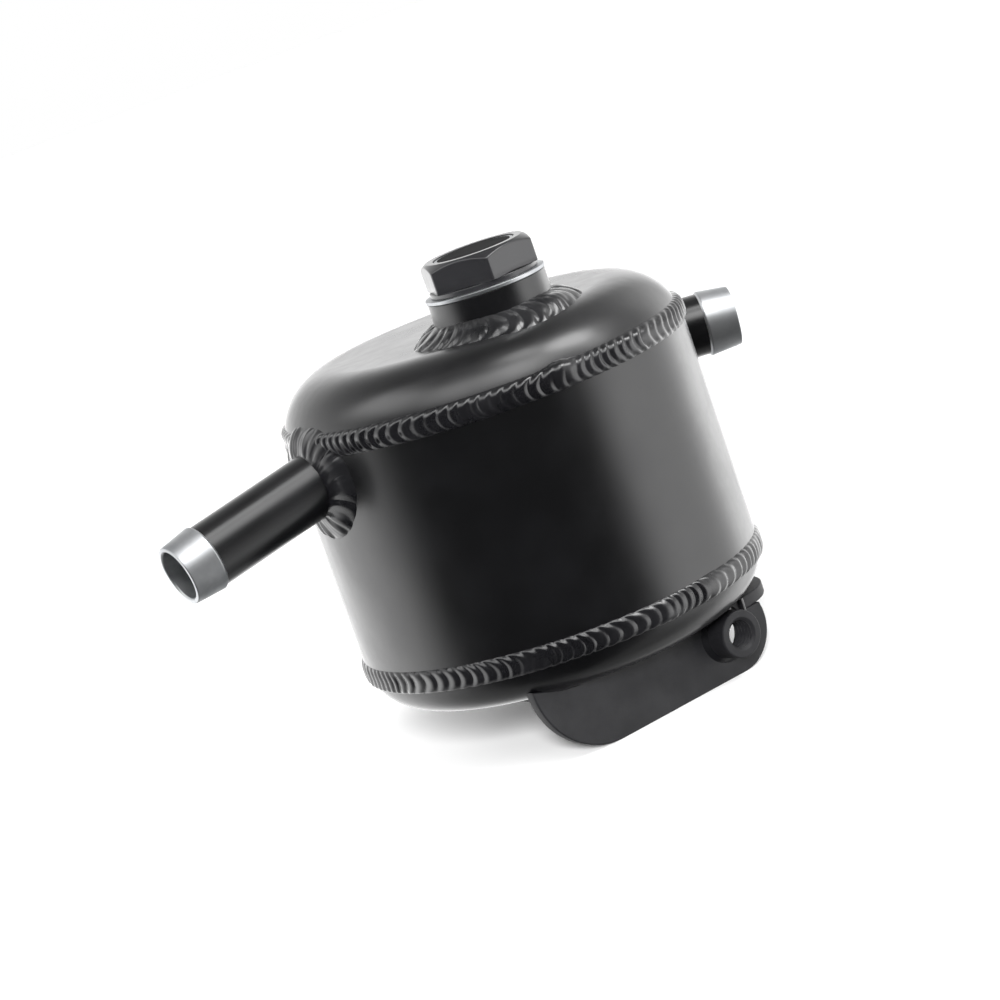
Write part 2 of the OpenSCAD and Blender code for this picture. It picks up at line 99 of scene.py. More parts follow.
def unit(vectors: Array) -> Array:
    """Scales vectors on the last axis to length one."""
    return vectors / np.linalg.norm(vectors, axis=-1, keepdims=True)


def smoothstep(low: float, high: float, value: Array) -> Array:
    """Rises from 0 at low to 1 at high as 3t^2 - 2t^3."""
    t = np.clip((value - low) / (high - low), 0.0, 1.0)
    return t * t * (3.0 - 2.0 * t)


def circle(steps: int) -> Array:
    """Angles of one full turn in even steps, in radians."""
    return np.linspace(0, 2 * np.pi, steps, endpoint=False)


def aim(bearing: float, height: float) -> tuple[float, float, float]:
    """The direction at a bearing and a height over the horizon, both in degrees."""
    b, h = math.radians(bearing), math.radians(height)
    return (math.cos(b) * math.cos(h), math.sin(b) * math.cos(h), math.sin(h))


def wander(turns: Array, seed: int, most: int = 14, waves: int = 7) -> Array:
    """A smooth closed wobble: a sum of sines of whole waves per turn, each weaker as it gets faster.

    Args:
        turns: Place along the closed run, from 0 to 1.
        seed: Seed of the waves' counts, sizes and starts.
        most: The most waves per turn.
        waves: How many sines are added.

    Returns:
        Values of about -1 to 1.
    """
    rng = np.random.default_rng(seed)
    total = np.zeros_like(np.asarray(turns, float))
    for count in rng.integers(2, most, waves):
        size = rng.normal(0, 0.5) / math.sqrt(count / 2)
        total = total + size * np.sin(2 * np.pi * (count * turns + rng.random()))
    return total


# The most of an edge that one rounded corner takes, and how far its guard points stand off by its radius
CORNER_SHARE = 0.45
GUARD_SHARE = 0.08


def rounded(points: Sequence[tuple[float, float]], radii: Sequence[float], steps: int = 5) -> Array:
    """Rounds the inner corners of an open profile.

    Each corner P becomes the curve (1-t)^2 A + 2t(1-t) P + t^2 B between points A and B that lie its radius
    away on either side. Points just outside A and B keep the flats flat where the surface is shaded smooth.

    Args:
        points: Corners of the profile, as (radius, height).
        radii: Radius of each corner; the first and the last aren't used.
        steps: Spans along each rounded corner.

    Returns:
        The profile's points, as an array of two columns.
    """
    p = np.array(points, float)
    parts = [p[:1]]
    t = np.linspace(0, 1, steps + 1)[:, None]
    for i in range(1, len(p) - 1):
        back, ahead = unit(p[i - 1] - p[i]), unit(p[i + 1] - p[i])
        r = min(radii[i], *(CORNER_SHARE * np.linalg.norm(p[k] - p[i]) for k in (i - 1, i + 1)))
        if r <= 0:
            parts.append(p[i : i + 1])
            continue
        a, b = p[i] + back * r, p[i] + ahead * r
        curve = (1 - t) ** 2 * a + 2 * t * (1 - t) * p[i] + t**2 * b
        parts.append(np.vstack([a + back * r * GUARD_SHARE, curve, b + ahead * r * GUARD_SHARE]))
    parts.append(p[-1:])
    return np.vstack(parts)


def walked(points: Array, axis: int, closed: bool) -> Array:
    """Mean distance walked along one parameter of a grid: the running sum of the steps' mean lengths."""
    steps = np.linalg.norm(np.diff(points, axis=axis), axis=-1).mean(axis=1 - axis)
    if closed:
        gap = np.take(points, 0, axis=axis) - np.take(points, -1, axis=axis)
        steps = np.append(steps, np.linalg.norm(gap, axis=-1).mean())
    return np.concatenate([[0.0], np.cumsum(steps)])


def put(name: str, data: bpy.types.ID) -> bpy.types.Object:
    """Puts a mesh, a lamp or a camera in the scene as a new object."""
    made = bpy.data.objects.new(name, data)
    bpy.context.scene.collection.objects.link(made)
    return made


class Skin:
    """Grid patches that make one mesh, with a UV map that counts millimetres along both parameters."""

    def __init__(self) -> None:
        """Starts with no patch."""
        self.points: list[Array] = []
        self.faces: list[NDArray[np.int64]] = []
        self.uvs: list[Array] = []
        self.count = 0

    def patch(self, points: Array, closed_u: bool = False, closed_v: bool = False) -> Skin:
        """Adds a grid of points.

        Quad (i, j) joins points (i, j), (i+1, j), (i+1, j+1) and (i, j+1), where an index past a closed edge
        starts again at zero.

        Args:
            points: Array of shape (u, v, 3) in the can's frame.
            closed_u: Joins the last row to the first.
            closed_v: Joins the last column to the first.

        Returns:
            The skin, so that patches can be added in a row.
        """
        nu, nv = points.shape[:2]
        i, j = np.meshgrid(np.arange(nu - 1 + closed_u), np.arange(nv - 1 + closed_v), indexing="ij")
        i2, j2 = (i + 1) % nu, (j + 1) % nv
        quads = np.stack([i * nv + j, i2 * nv + j, i2 * nv + j2, i * nv + j2], axis=-1).reshape(-1, 4)
        u, v = walked(points, 0, closed_u), walked(points, 1, closed_v)
        corners = [(u[i], v[j]), (u[i + 1], v[j]), (u[i + 1], v[j + 1]), (u[i], v[j + 1])]
        self.uvs.append(np.stack([np.stack(c, axis=-1) for c in corners], axis=-2).reshape(-1, 2))
        self.points.append(points.reshape(-1, 3))
        self.faces.append(quads + self.count)
        self.count += nu * nv
        return self

    def face(self, rim: Array, *holes: Array) -> Skin:
        """Closes a flat face between a rim and its holes with triangles.

        Args:
            rim: Points of the face's edge, of shape (u, 3), in the can's frame.
            *holes: Points of each hole's edge.

        Returns:
            The skin.
        """
        cells = np.array(tessellate_polygon([[Vector(point) for point in loop] for loop in (rim, *holes)]))
        points = np.concatenate([rim, *holes])
        flat = np.sort(np.argsort(np.ptp(points, axis=0))[1:])
        self.uvs.append(points[cells.ravel()][:, flat])
        self.points.append(points)
        self.faces.append(cells + self.count)
        self.count += len(points)
        return self

    def build(self, name: str, material: bpy.types.Material, crease: float = 40.0) -> bpy.types.Object:
        """Makes the object: merges the patches' doubles, turns every face outwards and shades it smooth.

        Args:
            name: The piece's name.
            material: Its finish.
            crease: Edges that turn by more than this many degrees stay sharp.

        Returns:
            The new object, at the origin, with its place in its mesh.
        """
        verts = to_row(np.concatenate(self.points))
        loops = np.concatenate([faces.ravel() for faces in self.faces])
        sizes = np.concatenate([np.full(len(faces), faces.shape[1]) for faces in self.faces])
        mesh = bpy.data.meshes.new(name)
        mesh.vertices.add(len(verts))
        mesh.vertices.foreach_set("co", verts.ravel())
        mesh.loops.add(len(loops))
        mesh.loops.foreach_set("vertex_index", loops)
        mesh.polygons.add(len(sizes))
        mesh.polygons.foreach_set("loop_start", np.cumsum(sizes) - sizes)
        mesh.update(calc_edges=True)
        mesh.uv_layers.new(name="millimetres").data.foreach_set("uv", np.concatenate(self.uvs).ravel())
        shell = bmesh.new()
        shell.from_mesh(mesh)
        bmesh.ops.remove_doubles(shell, verts=shell.verts, dist=1e-6)
        bmesh.ops.recalc_face_normals(shell, faces=shell.faces)
        shell.to_mesh(mesh)
        shell.free()
        mesh.shade_smooth()
        mesh.set_sharp_from_angle(angle=math.radians(crease))
        mesh.materials.append(material)
        return put(name, mesh)


def sleeve(*grids: Array) -> Skin:
    """A skin closed both ways round, from grids that follow each other along their second parameter."""
    return Skin().patch(np.concatenate(grids, axis=1), closed_u=True, closed_v=True)


@dataclass(frozen=True)
class Lathe:
    """A turning axis: its origin, two directions across it and its own direction."""

    origin: tuple[float, float, float] = (0.0, 0.0, 0.0)
    across: tuple[float, float, float] = (1.0, 0.0, 0.0)
    over: tuple[float, float, float] = (0.0, 1.0, 0.0)
    along: tuple[float, float, float] = (0.0, 0.0, 1.0)

    def at(self, radius: Array, angle: Array, height: Array) -> Array:
        """Point = origin + radius (cos angle across + sin angle over) + height along."""
        r, a, h = (x[..., None] for x in np.broadcast_arrays(radius, angle, height))
        flat = r * (np.cos(a) * np.array(self.across) + np.sin(a) * np.array(self.over))
        return np.array(self.origin) + flat + h * np.array(self.along)

    def turn(self, profile: Array, sides: int, start: float = 0.0) -> Array:
        """Sweeps a profile of (radius, height) once round from an angle, as a grid of (sides, points, 3)."""
        angle = (start + circle(sides))[:, None]
        return self.at(profile[None, :, 0], angle, profile[None, :, 1])


@dataclass(frozen=True)
class Thread:
    """A right-hand V thread with flat crests and roots."""

    crest: float
    root: float
    pitch: float
    start: float
    end: float
    fade: float = 1.2

    def rows(self) -> Array:
        """Heights of the grid's rows, ten to a pitch."""
        return np.linspace(self.start, self.end, int((self.end - self.start) / self.pitch * 10) + 1)

    def radius(self, height: Array, angle: Array) -> Array:
        """Radius at a height and an angle in radians.

        The phase is height / pitch - angle / 2 pi, so a crest climbs one pitch for a turn. The tooth is a
        triangle wave with an eighth of the pitch cut flat at each end, and it fades out near both ends of
        the thread.

        Args:
            height: Height along the axis.
            angle: Angle round the axis.

        Returns:
            The radius, between root and crest.
        """
        phase = np.mod(height / self.pitch - angle / (2 * np.pi), 1.0)
        tooth = np.clip((1 - np.abs(2 * phase - 1) - 0.125) / 0.75, 0, 1)
        ends = smoothstep(0, self.fade, height - self.start) * smoothstep(0, self.fade, self.end - height)
        return self.crest + (self.root - self.crest) * tooth * ends

    def cut(self, lathe: Lathe, sides: int) -> Array:
        """The thread's surface round an axis, as a grid of (sides, rows, 3)."""
        angle, rows = circle(sides)[:, None], self.rows()[None]
        return lathe.at(self.radius(rows, angle), angle, rows)


@dataclass(frozen=True)
class Knot:
    """A place where the bead was stopped and started again, smoother than the rest.

    It lies at an angle in degrees round the bead, reaches some mm along it and sits off its middle, from -1
    to 1. It rises by so many mm, and is a thin place where that is negative.
    """

    at: float
    reach: float
    rise: float
    off: float = 0.0


@dataclass(frozen=True)
class Ripples:
    """Frozen ripples of a hand-laid bead, like a row of overlapping coins."""

    pitch: float
    depth: float
    bow: float
    torch: Torch
    seed: int
    knots: tuple[Knot, ...] = ()
    sizes: tuple[float, float] = (0.65, 1.25)
    datum: float = 0.7
    knot_smooth: float = 0.85
    knot_width: float = 0.8

    def relief(self, turns: Array, across: Array, length: float) -> tuple[Array, Array]:
        """Height of the ripples and the swell of the knots over a closed bead.

        The phase is the count of ripples walked, with a slow wander, less the bow (1 - across^2), so each
        ripple is a crescent. Within a ripple the height is sin(pi f^1.15)^1.3, which rounds both crest and
        valley, and every ripple has a size of its own.

        Args:
            turns: Place along the bead from 0 to 1, of shape (u, 1).
            across: Place across the bead from -1 to 1, of shape (1, v).
            length: Length of the bead in mm.

        Returns:
            Ripple height from about -0.9 to 0.4 of the depth, and the knots' height, both in mm.
        """
        rng = np.random.default_rng(self.seed)
        count = max(3, round(length / self.pitch))
        size = rng.uniform(*self.sizes, count)
        slow = 0.6 * wander(turns, self.seed + 1) + 0.1 * wander(turns, self.seed + 2, most=60)
        lean = 0.25 * wander(turns, self.seed + 3, most=20) * across
        phase = count * turns + slow + lean - self.torch.value * self.bow / self.pitch * (1 - across**2)
        index = np.floor(phase)
        rise = np.sin(np.pi * (phase - index) ** 1.15) ** 1.3
        ripple = self.depth * size[np.mod(index, count).astype(int)] * (rise - self.datum)
        lump = np.zeros_like(ripple)
        for knot in self.knots:
            gap = (np.mod(turns - knot.at / 360 + 0.5, 1.0) - 0.5) * length
            near = np.exp(-((gap / knot.reach) ** 2) - ((across - knot.off) / self.knot_width) ** 2)
            ripple = ripple * (1 - self.knot_smooth * near)
            lump = lump + knot.rise * near
        return ripple, lump

    def edges(self, turns: Array, length: float) -> Array:
        """Ripple height along both edges of a bead, of shape (u, 2)."""
        return self.relief(turns, np.array([[-1.0, 1.0]]), length)[0]


# Finishes


def linear(code: str) -> tuple[float, float, float, float]:
    """Turns a hex sRGB colour to linear: c / 12.92 where dark, ((c + 0.055) / 1.055)^2.4 elsewhere."""
    srgb = np.array([int(code[i : i + 2], 16) / 255 for i in (1, 3, 5)])
    low = srgb <= 0.04045
    made = np.where(low, srgb / 12.92, ((srgb + 0.055) / 1.055) ** 2.4)
    return (float(made[0]), float(made[1]), float(made[2]), 1.0)


# Size of the slow drift in a finish's colour and roughness
DRIFT_MM = 14.0


def per_metre(size_mm: float) -> float:
    """Texture scale at which one cell of a pattern is this many millimetres."""
    return 1000.0 / size_mm


def add(
    tree: bpy.types.NodeTree, kind: str, inputs: dict[Any, Any] | None = None, **settings: Any
) -> bpy.types.Node:
    """Adds a node with its settings, values and links.

    Args:
        tree: The node tree.
        kind: The node's type, without the ShaderNode before it.
        inputs: Socket name or number to a value, or to an output socket to link.
        **settings: The node's own properties.

    Returns:
        The node.
    """
    node = tree.nodes.new("ShaderNode" + kind)
    for key, value in settings.items():
        setattr(node, key, value)
    for key, value in (inputs or {}).items():
        if isinstance(value, bpy.types.NodeSocket):
            tree.links.new(value, node.inputs[key])
        else:
            node.inputs[key].default_value = value
    return node


def blank(made: bpy.types.Material | bpy.types.World) -> bpy.types.NodeTree:
    """The emptied node tree of a new material or world."""
    made.use_nodes = True
    made.node_tree.nodes.clear()
    return made.node_tree


def maths(tree: bpy.types.NodeTree, operation: str, *values: Any) -> Any:
    """Puts values or sockets through one Math node, and returns the output socket."""
    return add(tree, "Math", dict(enumerate(values)), operation=operation).outputs[0]


def ramp(tree: bpy.types.NodeTree, value: Any, low: float, high: float, to_low: float, to_high: float) -> Any:
    """Maps a value smoothly from one range to another, and returns the output socket."""
    limits = {"Value": value, "From Min": low, "From Max": high, "To Min": to_low, "To Max": to_high}
    return add(tree, "MapRange", limits, interpolation_type="SMOOTHSTEP").outputs["Result"]


def curve(tree: bpy.types.NodeTree, value: Any, stops: Sequence[tuple[float, float]]) -> Any:
    """Reads a level off straight lines between stops.

    Args:
        tree: The node tree.
        value: The socket that is looked up.
        stops: Pairs of value and level, in rising order.

    Returns:
        The output socket with the level.
    """
    low, high, peak = stops[0][0], stops[-1][0], max(level for _, level in stops)
    place = add(tree, "MapRange", {"Value": value, "From Min": low, "From Max": high}).outputs["Result"]
    node = add(tree, "ValToRGB", {"Fac": place})
    marks = node.color_ramp.elements
    for _ in stops[2:]:
        marks.new(0.5)
    for mark, (at, level) in zip(marks, stops):
        mark.position = (at - low) / (high - low)
        mark.color = (level / peak, level / peak, level / peak, 1.0)
    return maths(tree, "MULTIPLY", node.outputs["Color"], peak)


@dataclass(frozen=True)
class Finish:
    """One finish: what the eye gets from the stuff and from how its surface was made."""

    name: str
    colour: str
    roughness: float
    metal: float = 0.0
    coat: float = 0.0
    coat_roughness: float = 0.1
    specular: float = 0.5
    grain_mm: float = 0.4
    grain_height_mm: float = 0.004
    wave_mm: float = 9.0
    wave_height_mm: float = 0.0
    turned_mm: float = 0.0
    turned_height_mm: float = 0.0
    patchiness: float = 0.06
    worn: str = ""

    def material(self) -> bpy.types.Material:
        """Builds the material.

        The colour and the roughness drift a little over centimetres. Fine grain, broad waves and lathe
        lines each lift the surface by a stated height, and the lathe lines follow the UV map's second axis.

        Returns:
            The material.
        """
        made = bpy.data.materials.new(self.name)
        tree = blank(made)
        place = add(tree, "TexCoord").outputs["Object"]
        cloud = {"Vector": place, "Scale": per_metre(DRIFT_MM), "Detail": 4.0, "Roughness": 0.6}
        drift = add(tree, "TexNoise", cloud).outputs["Fac"]
        worn = ramp(tree, drift, 0.35, 0.75, 0.0, 1.0)
        # The colour sockets of a Mix node are numbers 6 and 7, after those for numbers and vectors
        shades = {0: worn, 6: linear(self.colour), 7: linear(self.worn or self.colour)}
        keen, dull = self.roughness - self.patchiness, self.roughness + self.patchiness
        sockets = {
            "Base Color": add(tree, "Mix", shades, data_type="RGBA").outputs[2],
            "Metallic": self.metal,
            "Roughness": ramp(tree, drift, 0.3, 0.7, keen, dull),
            "Coat Weight": self.coat,
            "Coat Roughness": self.coat_roughness,
            "Specular IOR Level": self.specular,
        }
        grain = {"Vector": place, "Scale": per_metre(self.grain_mm), "Detail": 3.0}
        wave = {"Vector": place, "Scale": per_metre(self.wave_mm), "Detail": 1.0}
        reliefs = [(self.grain_height_mm, grain, "3D"), (self.wave_height_mm, wave, "3D")]
        if self.turned_height_mm > 0:
            uv = add(tree, "UVMap", uv_map="millimetres").outputs["UV"]
            down = add(tree, "SeparateXYZ", {"Vector": uv}).outputs["Y"]
            lines = {"W": down, "Scale": 1 / self.turned_mm, "Detail": 2.0}
            reliefs.append((self.turned_height_mm, lines, "1D"))
        normal: dict[str, Any] = {}
        for height, noise, dimensions in reliefs:
            if height > 0:
                relief = add(tree, "TexNoise", noise, noise_dimensions=dimensions).outputs["Fac"]
                lift = {"Height": relief, "Distance": height / 1000, "Strength": 1.0, **normal}
                normal = {"Normal": add(tree, "Bump", lift).outputs["Normal"]}
        shader = add(tree, "BsdfPrincipled", {**sockets, **normal})
        add(tree, "OutputMaterial", {"Surface": shader.outputs["BSDF"]})
        return made


# Dyed and sealed anodised aluminium: near black, with a sharp sheen over a softer one
ANODISED = Finish(
    "black_anodised_aluminium", "#060607", 0.36, coat=1.0, coat_roughness=0.2, grain_mm=0.5,
    grain_height_mm=0.003, worn="#08080a",
)
# The same coat over a bead: the melted surface is glassier, so each ripple has its own highlight
BEAD = Finish(
    "black_anodised_weld_bead", "#0a0a0c", 0.3, coat=1.0, coat_roughness=0.13, grain_mm=0.35,
    grain_height_mm=0.004, wave_mm=1.6, wave_height_mm=0.02, worn="#141416",
)
# Baked powder coat: dull, with a fine orange peel
POWDER = Finish(
    "matte_black_powder_coat", "#1a1a1c", 0.54, grain_mm=0.45, grain_height_mm=0.02, worn="#161618"
)
# Blasted and anodised plug: an even dark satin
SATIN = Finish(
    "blasted_anodised_plug", "#1a1a1c", 0.34, coat=1.0, coat_roughness=0.24, grain_mm=0.2,
    grain_height_mm=0.004, worn="#1f1f21",
)
# Bare aluminium off the lathe: bright, with fine rings drawn a little coarser than the real feed of 0.1 mm
TURNED = Finish(
    "turned_bare_aluminium", "#e4e6e8", 0.44, metal=1.0, turned_mm=0.22, turned_height_mm=0.004,
    grain_height_mm=0.002, patchiness=0.05, worn="#bfc2c5",
)
# The disc's flat black face, which stays black even at a grazing look
ENAMEL = Finish("matt_black_print", "#0c0c0d", 0.7, specular=0.12, grain_height_mm=0.0, patchiness=0.03)
# Bare sheet and its tacks, inside, dulled by oil mist
SHEET = Finish(
    "mill_finish_sheet", "#a9acaf", 0.38, metal=1.0, grain_mm=0.8, grain_height_mm=0.006, worn="#8e9194"
)


class Finishes:
    """The finishes as materials, made once."""

    def __init__(self) -> None:
        """Builds each material."""
        self.anodised = ANODISED.material()
        self.bead = BEAD.material()
        self.powder = POWDER.material()
        self.satin = SATIN.material()
        self.turned = TURNED.material()
        self.sheet = SHEET.material()
        self.enamel = ENAMEL.material()


def fit(piece: bpy.types.Object, body: Body, coat: Coat, *nodes: str) -> None:
    """Makes a piece ride on its body and stand for its solids, and reports it.

    Args:
        piece: The new piece.
        body: The body that it moves with.
        coat: The record's slot that its finish comes from; it is not used.
        *nodes: The solids that it replaces.
    """
    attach(piece, body.value)
    if nodes:
        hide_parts(*nodes)
    LOG.info("%s: %d faces on %s", piece.name, len(piece.data.polygons), body.value)


def dress(node: str, material: bpy.types.Material) -> None:
    """Gives a solid that stays in view its finish."""
    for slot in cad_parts[node].material_slots:
        slot.material = material
    LOG.info("%s: solid dressed in %s", node, material.name)


# The can


@dataclass(frozen=True)
class Shell:
    """The can's outside: a tube with a dished cap at each end."""

    radius: float = 50.8
    wall: float = 3.0
    tube_h: float = 60.4
    top_rise: float = 13.0
    top_corner: float = 15.9
    bottom_drop: float = 11.6
    bottom_corner: float = 12.8

    @property
    def crown(self) -> float:
        """Height of the top cap's flat."""
        return self.tube_h + self.top_rise

    def radius_at(self, z: Array) -> Array:
        """Outside radius at a height: the tube's, or radius - corner + sqrt(corner^2 - h^2) on a cap."""
        z = np.asarray(z, float)
        top = np.clip(z - self.tube_h, 0, self.top_rise) - self.top_rise + self.top_corner
        low = np.clip(-z, 0, self.bottom_drop) - self.bottom_drop + self.bottom_corner
        top_r = self.radius - self.top_corner + np.sqrt(np.maximum(self.top_corner**2 - top**2, 0))
        low_r = self.radius - self.bottom_corner + np.sqrt(np.maximum(self.bottom_corner**2 - low**2, 0))
        return np.where(z > self.tube_h, top_r, np.where(z < 0, low_r, self.radius))

    def crown_at(self, x: Array, y: Array) -> Array:
        """Height of the top cap's outside over a place in plan."""
        over = np.clip(np.hypot(x, y) - self.radius + self.top_corner, 0, self.top_corner)
        return self.crown - self.top_corner + np.sqrt(self.top_corner**2 - over**2)

    def meet(self, start: Array, way: Array, wall_depth: float = 0.0) -> Array:
        """Where a line leaves the shell, found by mending the radius for the height a few times.

        Args:
            start: A point of the line, inside the shell.
            way: The line's direction.
            wall_depth: How far inside the outer surface the meeting surface lies.

        Returns:
            The meeting point.
        """
        a = way[0] ** 2 + way[1] ** 2
        b = start[..., 0] * way[0] + start[..., 1] * way[1]
        radius: Any = self.radius
        point = start
        for _ in range(6):
            c = start[..., 0] ** 2 + start[..., 1] ** 2 - (radius - wall_depth) ** 2
            far = (-b + np.sqrt(np.maximum(b * b - a * c, 0))) / a
            point = start + far[..., None] * way
            radius = self.radius_at(point[..., 2])
        return point


# Places across a bead from -1 to 1, closer together at its edges
ACROSS = np.sin(np.linspace(-np.pi / 2, np.pi / 2, 25))[None, :]
# Edges of a bead that turn by more than this many degrees stay sharp
BEAD_CREASE = 75.0
# How far a bead's edges follow its ripples, for each mm of their height
SCALLOP = 0.12
# How far out from a tube the middle of the bead at its foot runs
BEAD_OUT = 3.0


@dataclass(frozen=True)
class SeamBead:
    """A rippled bead round the can where a cap meets the tube."""

    name: str
    seam_z: float
    up: float
    ripples: Ripples
    half_width: float = 3.0
    height: float = 0.82
    lean: float = 24.0
    sink: float = 0.08
    foot: float = 2.4
    foot_depth: float = 1.0
    steps: int = 1700

    def build(self, shell: Shell, material: bpy.types.Material) -> bpy.types.Object:
        """Lays the bead.

        Its base runs from the tube's radius at the seam down to the cap's at half_width past it, by the
        cube of the way. The crown stands off that base by height (1 - t^4)^0.85 plus the ripples and knots,
        along a direction that turns from the tube's outward normal to the cap's. The edges swell and shrink
        a little with the ripples.

        Args:
            shell: The can's outside.
            material: The bead's finish.

        Returns:
            The piece.
        """
        t, seed = ACROSS, self.ripples.seed
        length = 2 * np.pi * shell.radius
        turns = np.linspace(0, 1, self.steps, endpoint=False)[:, None]
        ripple, lump = self.ripples.relief(turns, t, length)
        edge = self.ripples.edges(turns, length)
        scallop = 1 + 0.05 * wander(turns, seed + 9) + SCALLOP * np.where(t < 0, edge[:, :1], edge[:, 1:])
        width = self.half_width * np.minimum(scallop, 1.0) * (1 + 0.4 * np.maximum(lump, 0))
        z = self.seam_z + self.up * width * t
        lean = np.radians(self.lean) * smoothstep(-1, 1, t)
        fall = shell.radius - shell.radius_at(self.seam_z + self.up * self.half_width)
        crown = self.height * (1 - t**4) ** 0.85 * (1 + 0.08 * wander(turns, seed + 5))
        body = 1 - t**4
        rise = crown + ripple * body + lump * body - self.sink
        base = shell.radius - fall * (np.clip(t, 0, 1) * width / self.half_width) ** 3
        r = base + rise * np.cos(lean)
        z = z + self.up * rise * np.sin(lean)
        angle = 2 * np.pi * turns
        surface = Lathe().at(r, angle, z)
        foot = self.seam_z + self.up * np.array([[self.foot, -self.foot]])
        under = Lathe().at(np.full((self.steps, 2), shell.radius - self.foot_depth), angle, foot)
        return sleeve(surface, under).build(self.name, material, BEAD_CREASE)


@dataclass(frozen=True)
class FilletBead:
    """A rippled fillet between two surfaces, given by the lines where it starts, ends and has its corner."""

    name: str
    ripples: Ripples
    bulge: float
    bed: float = 0.35

    def build(
        self, top: Array, toe: Array, corner: Array, length: float, material: bpy.types.Material
    ) -> bpy.types.Object:
        """Lays the bead.

        Its face runs straight from the top line to the toe line and is lifted away from the corner by
        bulge (1 - t^2) plus the ripples and knots. Its back lies one bed deep in both surfaces.

        Args:
            top: Points of the upper edge, of shape (u, 3).
            toe: Points of the lower edge.
            corner: Points of the joint under the bead.
            length: The bead's length in mm.
            material: The bead's finish.

        Returns:
            The piece.
        """
        turns = (np.arange(len(top)) / len(top))[:, None]
        t = ACROSS
        ripple, lump = self.ripples.relief(turns, t, length)
        edge = self.ripples.edges(turns, length)
        lift = self.bulge * (1 - t**2) + (ripple + lump) * (1 - t**4)
        out = unit(unit(top - corner) + unit(toe - corner))
        start = top + (top - corner) * SCALLOP * np.minimum(edge[:, :1], 0)
        end = toe + (toe - corner) * SCALLOP * np.minimum(edge[:, 1:], 0)
        along = ((t + 1) / 2)[..., None]
        face = start[:, None] + (end - start)[:, None] * along + out[:, None] * lift[..., None]
        sunk = -self.bed * out
        under = np.stack([toe + sunk, corner + 2 * sunk, top + sunk], axis=1)
        return sleeve(face, under).build(self.name, material, BEAD_CREASE)


@dataclass(frozen=True)
class CanBody:
    """The tube, its caps and the beads that join them."""

    shell: Shell = Shell()
    top_ripples: Ripples = Ripples(
        2.95, 0.5, 2.1, Torch.CLOCKWISE, 11, (Knot(257.0, 3.6, 1.2, 0.4), Knot(150.0, 22.0, -0.6))
    )
    bottom_ripples: Ripples = Ripples(
        3.0, 0.44, 2.1, Torch.COUNTER, 23, (Knot(263.4, 4.0, 0.5, 0.2), Knot(280.0, 3.5, 0.5))
    )

    def build(self, finishes: Finishes) -> None:
        """Dresses the tube and the caps, and lays both seams."""
        for node in ("body_tube", "top_cap", "bottom_cap"):
            dress(node, finishes.anodised)
        top = SeamBead("top_seam_bead", self.shell.tube_h, 1.0, self.top_ripples)
        low = SeamBead("bottom_seam_bead", 0.0, -1.0, self.bottom_ripples)
        fit(top.build(self.shell, finishes.bead), Body.CAN, Coat.WELD, "top_seam_weld")
        fit(low.build(self.shell, finishes.bead), Body.CAN, Coat.WELD, "bottom_seam_weld")


@dataclass(frozen=True)
class FillerNeck:
    """The turned neck through the top cap, and its weld."""

    offset: float = 19.5
    bearing: float = 260.0
    radius: float = 14.6
    bore: float = 11.05
    thread_depth: float = 0.55
    pitch: float = 1.5
    top: float = 82.4
    foot: float = 67.4
    leg: float = 3.8
    toe: float = 6.5
    ripples: Ripples = Ripples(
        3.5, 0.45, 1.8, Torch.COUNTER, 37, (Knot(290.0, 4.5, 0.9), Knot(215.0, 3.0, 0.2))
    )
    bulge: float = 0.5
    lead: float = 0.6
    leg_seed: int = 71
    toe_seed: int = 72
    sides: int = 180
    bead_steps: int = 640

    @property
    def centre(self) -> tuple[float, float]:
        """The neck's axis in plan."""
        turn = math.radians(self.bearing)
        return (self.offset * math.cos(turn), self.offset * math.sin(turn))

    def build(self, shell: Shell, finishes: Finishes) -> None:
        """Makes the neck with its threaded bore, and lays the bead round its foot."""
        lathe = Lathe((*self.centre, 0.0))
        thread = Thread(self.bore, self.bore + self.thread_depth, self.pitch, self.foot + 0.5, self.top - 1.0)
        corners = [
            (self.bore, self.foot), (self.radius, self.foot), (self.radius, self.top),
            (self.bore + self.lead, self.top), (self.bore, self.top - self.lead),
        ]
        outer = lathe.turn(rounded(corners, [0, 0.3, 0.3, 0.1, 0]), self.sides)
        inside = thread.cut(lathe, self.sides)[:, ::-1]
        neck = sleeve(outer, inside).build("filler_neck_turned", finishes.anodised)
        fit(neck, Body.CAN, Coat.BLACK, "filler_neck")
        fit(self.bead(shell, finishes.bead), Body.CAN, Coat.WELD, "neck_weld")

    def bead(self, shell: Shell, material: bpy.types.Material) -> bpy.types.Object:
        """Lays the bead round the neck's foot, with legs that wander a little."""
        turn = circle(self.bead_steps)
        turns = turn / (2 * np.pi)
        way = np.stack([np.cos(turn), np.sin(turn)], axis=-1)

        def ring(out: Array, lift: Array) -> Array:
            """Points that far out from the neck's side and that far over the cap."""
            plan = np.array(self.centre) + way * (self.radius + out)[:, None]
            return np.concatenate([plan, (shell.crown_at(plan[:, 0], plan[:, 1]) + lift)[:, None]], axis=-1)

        none = np.zeros_like(turn)
        leg = self.leg * (1 + 0.1 * wander(turns, self.leg_seed, most=9))
        toe = self.toe * (1 + 0.07 * wander(turns, self.toe_seed, most=9))
        bead = FilletBead("filler_neck_bead", self.ripples, self.bulge)
        length = 2 * np.pi * (self.radius + BEAD_OUT)
        return bead.build(ring(none, leg), ring(toe, none), ring(none, none), length, material)


